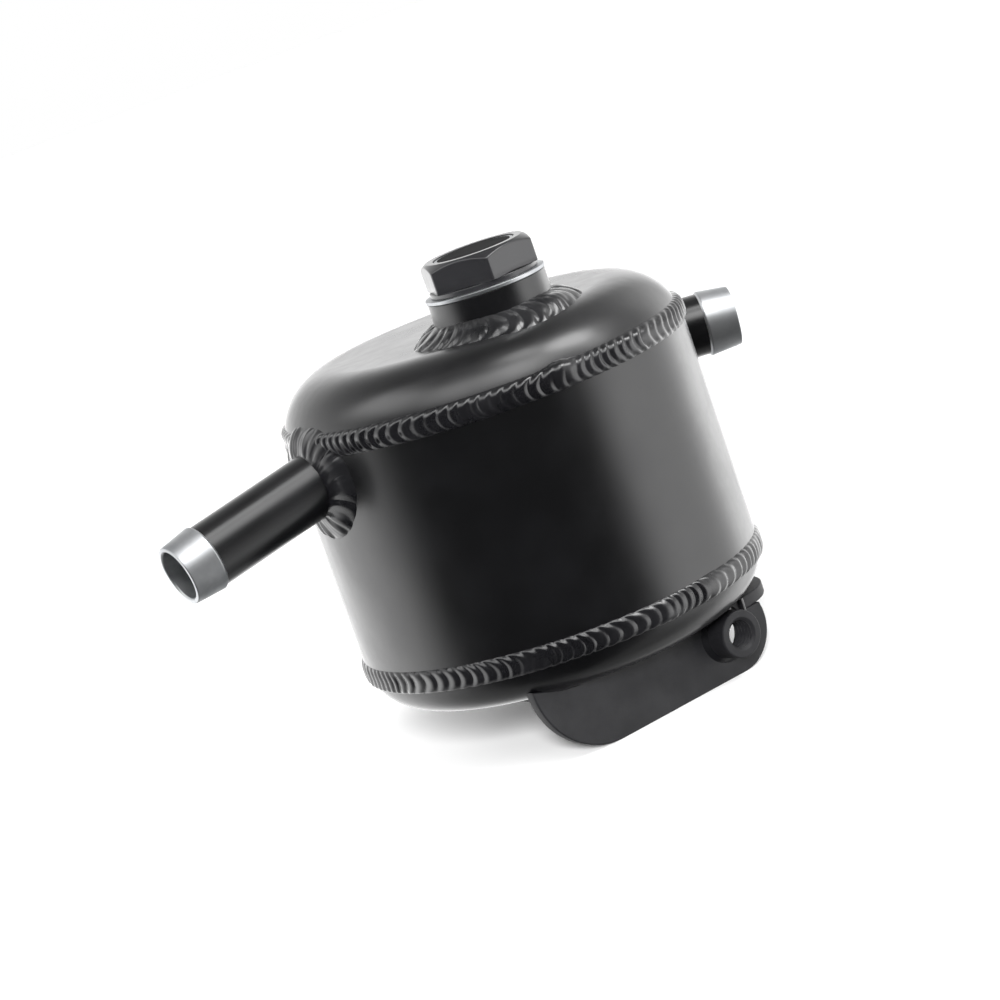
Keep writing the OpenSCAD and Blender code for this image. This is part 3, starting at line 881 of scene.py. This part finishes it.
@dataclass(frozen=True)
class FillerPlug:
    """The hexagon plug with its collar, threaded shank, washer and inset disc."""

    neck: FillerNeck = FillerNeck()
    washer_r: float = 14.8
    washer_t: float = 0.9
    washer_bore: float = 11.15
    collar_r: float = 13.3
    collar_t: float = 1.3
    flats: float = 25.4
    hex_h: float = 7.0
    hex_turn: float = 5.5
    face_r: float = 12.0
    chamfer: float = 30.0
    recess_r: float = 10.1
    recess_h: float = 1.0
    disc_r: float = 9.9
    disc_t: float = 0.7
    enamel_r: float = 9.1
    shank_r: float = 11.0
    shank_h: float = 11.0
    relief: float = 1.0
    foot_round: float = 0.2
    thread_depth: float = 0.8
    thread_end: float = -1.6
    washer_sides: int = 160
    disc_sides: int = 120
    hex_sides: int = 720
    shank_sides: int = 200

    def hexagon(self, angle: Array, cone: Array) -> Array:
        """Radius of the hexagon cut by its chamfer cone.

        1 / r is the 70th root of the sum of the 70th powers of 1 / distance for the six flats, each at
        (flats / 2) / cos(angle - its own), and of 1 / cone, which is a minimum with its edges rounded.

        Args:
            angle: Angle round the axis in radians.
            cone: The chamfer cone's radius.

        Returns:
            The radius.
        """
        power = 70
        total = (1 / cone) ** power
        for k in range(6):
            face = math.radians(self.hex_turn + 30 + 60 * k)
            total = total + np.maximum(np.cos(angle - face) / (self.flats / 2), 0) ** power
        return total ** (-1 / power)

    def build(self, finishes: Finishes) -> None:
        """Makes the washer, the plug and its disc."""
        z0 = self.neck.top + self.washer_t
        lathe = Lathe((*self.neck.centre, z0))
        section = [
            (self.washer_bore, -self.washer_t), (self.washer_r, -self.washer_t),
            (self.washer_r, 0.0), (self.washer_bore, 0.0),
        ]
        ring = lathe.turn(rounded([*section, section[0]], [0, 0.15, 0.15, 0.1, 0])[:-1], self.washer_sides)
        washer = sleeve(ring).build("sealing_washer", finishes.turned)
        fit(washer, Body.WASHER, Coat.BARE, "plug_washer")
        fit(self.head(lathe, finishes.satin), Body.PLUG, Coat.PLUG, "filler_plug")
        top = self.collar_t + self.hex_h - self.recess_h
        low, face, r = top + 0.02, top + self.disc_t, self.disc_r
        edge = rounded([(0.0, low), (r, low), (r, face), (0.0, face)], [0, 0.05, 0.12, 0])
        disc = Skin().patch(lathe.turn(edge, self.disc_sides), closed_u=True)
        fit(disc.build("plug_top_disc", finishes.turned), Body.PLUG, Coat.BARE, "plug_disc")
        low, high, r = face - 0.1, face + 0.1, self.enamel_r
        dome = rounded([(0.0, low), (r, low), (r, high), (0.0, face + 0.16)], [0, 0, 0.12, 0])
        enamel = Skin().patch(lathe.turn(dome, self.disc_sides), closed_u=True)
        fit(enamel.build("plug_disc_enamel", finishes.enamel), Body.PLUG, Coat.PLUG)

    def head(self, lathe: Lathe, material: bpy.types.Material) -> bpy.types.Object:
        """Makes the collar, hexagon and shank as one mesh of two closed skins.

        Args:
            lathe: The plug's axis, with its origin under the collar.
            material: Its finish.

        Returns:
            The piece.
        """
        start = math.radians(self.hex_turn)
        angle = (start + circle(self.hex_sides))[:, None]
        slope = 1 / math.tan(math.radians(self.chamfer))
        # Rows crowd at the hexagon's rounded foot and over its chamfer
        rows = np.concatenate([[0.0, 0.06, 0.2, 2.0, 4.0], np.linspace(5.0, self.hex_h, 36)])
        skirt = self.foot_round * (1 - np.sqrt(np.minimum(rows / self.foot_round, 1.0)))[None]
        outline = self.hexagon(angle, self.face_r + (self.hex_h - rows)[None] * slope) - skirt
        r, deck = self.collar_r, self.collar_t + self.hex_h
        low = [(0.0, 0.0), (r, 0.0), (r, self.collar_t), (r - 0.5, self.collar_t)]
        floor = deck - self.recess_h
        high = [(self.face_r - 0.1, deck), (self.recess_r, deck), (self.recess_r, floor), (0.0, floor)]
        grid = [
            lathe.turn(rounded(low, [0, 0.25, 0.25, 0])[:-1], self.hex_sides, start),
            lathe.at(outline, angle, self.collar_t + rows[None]),
            lathe.turn(rounded(high, [0, 0.15, 0.1, 0]), self.hex_sides, start),
        ]
        root, begin = self.shank_r - self.thread_depth, -self.shank_h + 0.6
        thread = Thread(root, self.shank_r, self.neck.pitch, begin, self.thread_end, fade=0.8)
        core = self.shank_r - self.relief
        tip = np.array([(0.0, -self.shank_h), (core - 0.6, -self.shank_h), (core, -self.shank_h + 0.5)])
        neck = np.array([(core, -1.2), (core, 0.4), (0.0, 0.4)])
        shank = [
            lathe.turn(tip, self.shank_sides),
            thread.cut(lathe, self.shank_sides),
            lathe.turn(neck, self.shank_sides),
        ]
        skin = Skin().patch(np.concatenate(grid, axis=1), closed_u=True)
        return skin.patch(np.concatenate(shank, axis=1), closed_u=True).build("hexagon_plug", material, 50)


@dataclass(frozen=True)
class HoseSpigot:
    """A hose spigot, its bare barbed end and the bead at its root."""

    name: str
    bearing: float
    slope: float
    shift: float
    root_z: float
    length: float
    ripples: Ripples
    radius: float = 7.9
    bore: float = 6.3
    barb_r: float = 8.4
    tip_r: float = 7.6
    barb_h: float = 8.0
    back: float = 0.5
    leg: float = 6.0
    tube_leg: float = 6.0
    bulge: float = 0.7
    inside: float = -20.0
    sides: int = 160
    rows: int = 12
    barb_sides: int = 200
    bead_steps: int = 480

    def lathe(self, shell: Shell) -> Lathe:
        """The spigot's axis, whose origin is where it meets the can's wall."""
        b = math.radians(self.bearing)
        out = np.array(aim(self.bearing, -self.slope))
        side = np.array([-math.sin(b), math.cos(b), 0.0])
        level = math.sqrt(shell.radius**2 - self.shift**2)
        root = np.array([level * math.cos(b), level * math.sin(b), self.root_z]) + self.shift * side
        return Lathe(tuple(root), tuple(side), tuple(np.cross(out, side)), tuple(out))

    def cope(self, lathe: Lathe, shell: Shell, radius: float, angle: Array, depth: float) -> Array:
        """How far along the axis a line of the tube meets the shell, at a depth under its outside."""
        start = lathe.at(np.full_like(angle, radius), angle, np.full_like(angle, self.inside))
        met = shell.meet(start, np.array(lathe.along), depth)
        return (met - np.array(lathe.origin)) @ np.array(lathe.along)

    def build(self, shell: Shell, finishes: Finishes) -> None:
        """Makes the coated tube, the bare barb and the bead."""
        lathe = self.lathe(shell)
        angle = circle(self.sides)
        shoulder = self.length - self.barb_h
        start = shoulder - self.back
        outer = self.cope(lathe, shell, self.radius, angle, shell.wall)[:, None]
        inner = self.cope(lathe, shell, self.bore, angle, shell.wall)[:, None]
        steps = np.linspace(0, 1, self.rows)[None]
        span = (1, self.rows)
        wall = lathe.at(np.full(span, self.radius), angle[:, None], outer + (start - outer) * steps)
        bore = lathe.at(np.full(span, self.bore), angle[:, None], start + (inner - start) * steps)
        tube = sleeve(wall, bore).build(self.name + "_tube", finishes.anodised)
        fit(tube, Body.CAN, Coat.BLACK, self.name)
        end = self.length
        corners = [
            (self.bore, start), (self.radius, start), (self.barb_r, shoulder), (self.tip_r, end),
            (self.bore + 0.35, end), (self.bore, end - 0.35), (self.bore, start),
        ]
        profile = rounded(corners, [0, 0.05, 0.25, 0.3, 0.1, 0.1, 0])[:-1]
        barb = sleeve(lathe.turn(profile, self.barb_sides)).build(self.name + "_barb", finishes.turned)
        fit(barb, Body.CAN, Coat.BARE)
        self.bead(lathe, shell, finishes.bead)

    def bead(self, lathe: Lathe, shell: Shell, material: bpy.types.Material) -> None:
        """Lays the bead at the root.

        The corner line is where the tube meets the shell. The upper edge lies tube_leg further along the
        tube, and the toe lies where a wider cylinder meets the shell, as wide as makes the toe one leg from
        the corner.

        Args:
            lathe: The spigot's axis.
            shell: The can's outside.
            material: The bead's finish.
        """
        turn = circle(self.bead_steps)
        turns = turn / (2 * np.pi)
        way = np.array(lathe.along)

        def met(radius: Array) -> Array:
            """Points of the shell round the tube at a radius."""
            return shell.meet(lathe.at(radius, turn, np.full_like(turn, self.inside)), way)

        corner = met(np.full_like(turn, self.radius))
        far = met(np.full_like(turn, self.radius + self.leg))
        share = np.minimum(1, self.leg / np.linalg.norm(far - corner, axis=-1))
        seed = self.ripples.seed
        toe = met(self.radius + self.leg * share * (1 + 0.06 * wander(turns, seed + 30, most=8)))
        top = corner + way * (self.tube_leg * (1 + 0.08 * wander(turns, seed + 31, most=8)))[:, None]
        bead = FilletBead(self.name + "_bead", self.ripples, self.bulge)
        piece = bead.build(top, toe, corner, 2 * np.pi * (self.radius + BEAD_OUT), material)
        fit(piece, Body.CAN, Coat.WELD, self.name + "_weld")


@dataclass(frozen=True)
class Bracket:
    """The flange under the can, the upright plate in front of it and the threaded boss."""

    left: float = -27.8
    right: float = 44.3
    front: float = -31.2
    back: float = 9.0
    corner: float = 15.3
    nick: float = 3.0
    top: float = -11.6
    sheet: float = 3.0
    step: float = 28.8
    plate_left: float = -36.0
    plate_right: float = 34.8
    plate_h: float = 14.1
    sweep: float = 20.4
    lobe: float = 10.9
    boss: tuple[float, float] = (21.3, -17.6)
    boss_r: float = 5.9
    boss_l: float = 7.0
    bore: float = 3.4
    hole: float = 5.4
    thread_depth: float = 0.55
    pitch: float = 1.25
    edge: float = 0.35
    ear: tuple[tuple[float, float], ...] = ((-24.0, -11.6), (-28.0, -10.9), (-32.0, -9.6))
    hole_sides: int = 96
    boss_sides: int = 144

    @property
    def hub(self) -> Lathe:
        """The boss's axis, along y."""
        return Lathe((self.boss[0], 0.0, self.boss[1]), (1.0, 0.0, 0.0), (0.0, 0.0, 1.0), (0.0, 1.0, 0.0))

    def arcs(self, pieces: Sequence[tuple[float, ...]]) -> Array:
        """Joins arcs (x, y, radius, first degree, last degree) and bare points (x, y) into one outline."""
        made = []
        for x, y, *arc in pieces:
            if not arc:
                made.append(np.array([[x, y]]))
                continue
            r, first, last = arc
            a = np.radians(np.linspace(first, last, max(8, int(abs(last - first) / 3))))
            made.append(np.stack([x + r * np.cos(a), y + r * np.sin(a)], axis=-1))
        return np.concatenate(made)

    def slab(self, outline: Array, low: float, high: float) -> Array:
        """The rim of a flat plate with rounded edges, as rings of (plan x, plan y, height).

        Ring k is inset from the outline by edge (1 - cos a) while it drops by edge (1 - sin a), runs down
        the side, and comes back on the other face. The inset goes along the sum of the two edges' normals
        over one plus their dot product, which keeps corners square.

        Args:
            outline: Closed outline, anticlockwise, of shape (u, 2).
            low: Height of the lower face.
            high: Height of the upper face.

        Returns:
            Array of shape (u, rings, 3), whose first and last rings bound the faces.
        """
        ahead = np.roll(outline, -1, axis=0) - outline
        after = unit(np.stack([ahead[:, 1], -ahead[:, 0]], axis=-1))
        before = np.roll(after, 1, axis=0)
        normal = (after + before) / (1 + (after * before).sum(axis=-1, keepdims=True))
        a = np.radians([90, 67.5, 45, 22.5, 0])
        bend = self.edge * np.concatenate([[1.3], 1 - np.cos(a)])
        drop = self.edge * np.concatenate([[0], 1 - np.sin(a)])
        height = np.concatenate([high - drop, low + drop[::-1]])
        plan = outline[:, None] - normal[:, None] * np.concatenate([bend, bend[::-1]])[None, :, None]
        return np.concatenate([plan, np.broadcast_to(height[None, :, None], (*plan.shape[:2], 1))], axis=-1)

    def build(self, finishes: Finishes) -> None:
        """Makes the flange, the plate and the boss, and dresses the small beads."""
        n, c, behind = self.nick, self.corner, self.front + self.sheet
        plan = self.arcs(
            [
                (self.left + n, behind + n, n, 180, 270),
                (self.step, behind),
                (self.step, self.front),
                (self.right - c, self.front + c, c, 270, 360),
                (self.right - n, self.back - n, n, 0, 90),
                (self.left + n, self.back - n, n, 90, 180),
            ]
        )
        rim = self.slab(plan, self.top - self.sheet, self.top)
        flange = Skin().patch(rim, closed_u=True).face(rim[:, 0]).face(rim[:, -1])
        fit(flange.build("bracket_top_flange", finishes.powder), Body.CAN, Coat.BRACKET, "bracket_flange")
        self.plate(finishes.powder)
        self.stud(finishes.powder)
        dress("flange_weld", finishes.powder)
        # Both beads take the glossy bead finish. On the boss's bead its darker colour is also painted shade,
        # standing for the shade on the boss's side
        for node in ("plate_weld", "boss_weld"):
            dress(node, finishes.bead)

    def plate(self, material: bpy.types.Material) -> None:
        """Makes the upright plate, with the hole behind the boss and an ear that follows the can's corner."""
        foot = self.top - self.sheet - self.plate_h
        left = (self.plate_left + self.sweep, foot + self.sweep)
        right = (self.plate_right - self.lobe, foot + self.lobe)
        turn_r = math.degrees(math.asin((self.top - self.sheet - right[1]) / self.lobe))
        outline = self.arcs(
            [
                *self.ear,
                (*left, self.sweep, 180, 270),
                (*right, self.lobe, 270, 360 + turn_r),
                (self.step, self.top - self.sheet),
                (self.step, self.top),
            ]
        )
        upright = [0, 2, 1]
        rim = self.slab(outline, self.front, self.front + self.sheet)[..., upright]
        hole = np.array([(self.hole, self.front + self.sheet), (self.hole, self.front)])
        wall = self.hub.turn(hole, self.hole_sides)
        skin = Skin().patch(rim, closed_u=True).patch(wall, closed_u=True)
        skin.face(rim[:, 0], wall[:, 0]).face(rim[:, -1], wall[:, 1])
        fit(skin.build("bracket_upright_plate", material), Body.CAN, Coat.BRACKET, "bracket_plate")

    def stud(self, material: bpy.types.Material) -> None:
        """Makes the boss: a ring with a rounded rim, and a bore tapped a thread's depth into it."""
        foot, face = self.front + 0.05, self.front - self.boss_l
        corners = [
            (self.bore, foot), (self.boss_r, foot), (self.boss_r, face), (self.bore + 0.7, face),
            (self.bore, face + 0.6),
        ]
        outer = self.hub.turn(rounded(corners, [0, 0, 0.45, 0.15, 0]), self.boss_sides)
        root = self.bore + self.thread_depth
        tapped = Thread(self.bore, root, self.pitch, face + 0.62, foot - 0.02, fade=0.8)
        skin = sleeve(outer, tapped.cut(self.hub, self.boss_sides))
        fit(skin.build("bracket_tapped_boss", material), Body.CAN, Coat.BRACKET, "bracket_boss")


@dataclass(frozen=True)
class Baffle:
    """The perforated disc inside the can and its tacks."""

    nodes: tuple[str, ...] = ("baffle_plate", "baffle_tacks")

    def build(self, finishes: Finishes) -> None:
        """Dresses both solids."""
        for node in self.nodes:
            dress(node, finishes.sheet)


# The studio


@dataclass(frozen=True)
class Softbox:
    """A round soft light far off in the studio, given by its bearing and height in degrees."""

    bearing: float
    height: float
    inner: float
    outer: float
    level: float


@dataclass(frozen=True)
class Lamp:
    """A round soft lamp aimed at the floor under the can, that mirror rays don't see.

    It stands low, so its light reaches under the can, and the object's shadow stays close to it.
    """

    bearing: float = 235.0
    height: float = 21.0
    distance: float = 1.5
    width: float = 0.32
    power: float = 40.0

    def build(self, foot: Vector) -> None:
        """Hangs the lamp at its bearing and height in degrees, that far from the foot in metres."""
        light = bpy.data.lights.new("front_fill", "AREA")
        light.shape = "DISK"
        light.size = self.width
        light.energy = self.power
        way = Vector(aim(self.bearing, self.height))
        holder = put("front_fill", light)
        holder.location = foot + way * self.distance
        holder.rotation_euler = way.to_track_quat("Z", "Y").to_euler()
        holder.visible_glossy = False


@dataclass(frozen=True)
class Studio:
    """Camera, floor and light.

    The light is a bright room with a dark gap behind the camera: walls whose level goes round by bearing
    and fades with height, a hoop of light over the dark side, and softboxes. A low lamp from the front
    lights the floor.
    """

    camera_at: tuple[float, float, float] = (-431.91, -672.78, 179.04)
    camera_turn: tuple[float, float, float] = (78.7608, 18.8451, -35.9356)
    lens: float = 119.70
    floor_z: float = -28.7
    floor_lift: float = 1.0
    floor_reach: float = 4.0
    walls: tuple[tuple[float, float], ...] = (
        (0, 1.75), (6, 2.3), (18, 2.0), (35, 1.2), (46, 1.75), (65, 1.75), (78, 1.5), (105, 1.6), (130, 1.72),
        (142, 1.66), (149, 1.46), (156, 1.12), (163, 0.68), (169, 0.32), (175, 0.07), (181, 0.03),
        (274, 0.03), (283, 0.06), (290, 0.58), (297, 1.5), (305, 1.95), (315, 1.85), (324, 1.66),
        (339, 1.3), (348, 1.25), (357, 1.55), (360, 1.75),
    )
    wall_fade: tuple[tuple[float, float], ...] = (
        (-1.0, 0.1), (-0.8, 0.2), (-0.6, 0.55), (-0.3, 0.9), (-0.2, 1.0), (0.0, 0.85), (0.12, 0.62),
        (0.34, 0.5), (0.5, 0.38), (0.64, 0.2), (0.77, 0.1), (1.0, 0.06),
    )
    hoop: tuple[tuple[float, float], ...] = (
        (0, 0.1), (120, 0.1), (128, 0.5), (140, 2.2), (171, 2.2), (186, 1.4), (205, 2.2), (217, 2.8),
        (228, 2.2), (245, 2.8), (257, 4.4), (270, 3.9), (286, 2.1), (300, 2.2), (325, 1.1), (347, 0.3),
        (360, 0.1),
    )
    hoop_fade: tuple[tuple[float, float], ...] = (
        (0.45, 0.0), (0.55, 0.25), (0.62, 0.6), (0.7, 0.9), (0.77, 1.0), (0.84, 1.0), (0.9, 0.4),
        (0.94, 0.14), (1.0, 0.05),
    )
    softboxes: tuple[Softbox, ...] = (
        Softbox(289, 71, 3, 10, 3.4), Softbox(315, 52, 4, 14, 6.0), Softbox(314, 36, 3, 12, 2.2)
    )
    fill: Lamp = Lamp()

    def build(self) -> None:
        """Sets the camera, the floor and the light."""
        camera = bpy.data.cameras.new("camera")
        camera.lens = self.lens
        camera.sensor_width = 36.0
        camera.clip_end = 20.0
        holder = put("camera", camera)
        holder.location = Vector(to_row(np.array(self.camera_at)))
        holder.rotation_euler = Euler([math.radians(v) for v in self.camera_turn], "XYZ")
        bpy.context.scene.camera = holder
        self.floor()
        self.room()
        self.fill.build(Vector(to_row(np.array([0.0, 0.0, self.floor_z]))))
        bpy.context.scene.view_settings.view_transform = "Standard"

    def floor(self) -> None:
        """Lays a pale floor under the bracket.

        The camera sees it white where the light is full, so that the object's shadow shows. Mirror rays go
        through to the room.
        """
        z, far = to_row(np.array([0.0, 0.0, self.floor_z]))[2], self.floor_reach
        mesh = bpy.data.meshes.new("floor")
        mesh.from_pydata([(-far, -far, z), (far, -far, z), (far, far, z), (-far, far, z)], [], [(0, 1, 2, 3)])
        put("floor", mesh)
        made = bpy.data.materials.new("pale_floor")
        tree = blank(made)
        paper = add(tree, "BsdfDiffuse", {"Color": linear("#f4f4f4")})
        lift = self.floor_lift
        shown = add(tree, "BsdfDiffuse", {"Color": (lift, lift, lift, 1.0)})
        clear = add(tree, "BsdfTransparent")
        path = add(tree, "LightPath")
        camera, mirror = path.outputs["Is Camera Ray"], path.outputs["Is Glossy Ray"]
        seen = add(tree, "MixShader", {0: camera, 1: paper.outputs[0], 2: shown.outputs[0]})
        mixed = add(tree, "MixShader", {0: mirror, 1: seen.outputs[0], 2: clear.outputs[0]})
        add(tree, "OutputMaterial", {"Surface": mixed.outputs[0]})
        mesh.materials.append(made)

    def room(self) -> None:
        """Sets the light from all round, and shows white to the camera."""
        made = bpy.data.worlds.new("studio")
        bpy.context.scene.world = made
        tree = blank(made)
        way = add(tree, "TexCoord").outputs["Generated"]
        parts = add(tree, "SeparateXYZ", {0: way})
        turn = maths(tree, "ARCTAN2", parts.outputs["Y"], parts.outputs["X"])
        whole = maths(tree, "FRACT", maths(tree, "DIVIDE", turn, 2 * math.pi))
        bearing = maths(tree, "MULTIPLY", whole, 360.0)
        height = parts.outputs["Z"]
        total: Any = 0.0
        for level, fade in ((self.walls, self.wall_fade), (self.hoop, self.hoop_fade)):
            total = maths(tree, "MULTIPLY_ADD", curve(tree, bearing, level), curve(tree, height, fade), total)
        for box in self.softboxes:
            towards = {0: way, 1: aim(box.bearing, box.height)}
            facing = add(tree, "VectorMath", towards, operation="DOT_PRODUCT").outputs["Value"]
            near = [math.cos(math.radians(v)) for v in (box.outer, box.inner)]
            glow = ramp(tree, facing, near[0], near[1], 0.0, box.level)
            total = maths(tree, "ADD", total, glow)
        seen = add(tree, "LightPath").outputs["Is Camera Ray"]
        strength = add(tree, "Mix", {0: seen, 2: total, 3: 1.0}, data_type="FLOAT").outputs[0]
        glow = add(tree, "Background", {"Color": (1.0, 1.0, 1.0, 1.0), "Strength": strength})
        add(tree, "OutputWorld", {"Surface": glow.outputs[0]})


@dataclass(frozen=True)
class CatchCan:
    """The whole object."""

    can: CanBody = CanBody()
    neck: FillerNeck = FillerNeck()
    plug: FillerPlug = FillerPlug()
    left: HoseSpigot = HoseSpigot(
        "left_spigot", 174.0, 9.8, 0.0, 51.6, 41.6, Ripples(4.4, 0.5, 1.2, Torch.COUNTER, 43),
        leg=6.8, tube_leg=2.6,
    )
    right: HoseSpigot = HoseSpigot(
        "right_spigot", 331.0, 3.6, 35.0, 49.1, 31.0, Ripples(3.2, 0.5, 1.4, Torch.COUNTER, 53)
    )
    bracket: Bracket = Bracket()
    baffle: Baffle = Baffle()

    def build(self) -> None:
        """Builds every sub-assembly."""
        finishes = Finishes()
        self.can.build(finishes)
        self.neck.build(self.can.shell, finishes)
        self.plug.build(finishes)
        self.left.build(self.can.shell, finishes)
        self.right.build(self.can.shell, finishes)
        self.bracket.build(finishes)
        self.baffle.build(finishes)


def main() -> None:
    """Builds the studio and the object."""
    logging.basicConfig(level=logging.INFO, format="%(name)s: %(message)s")
    Studio().build()
    CatchCan().build()


if __name__ == "__main__":
    main()
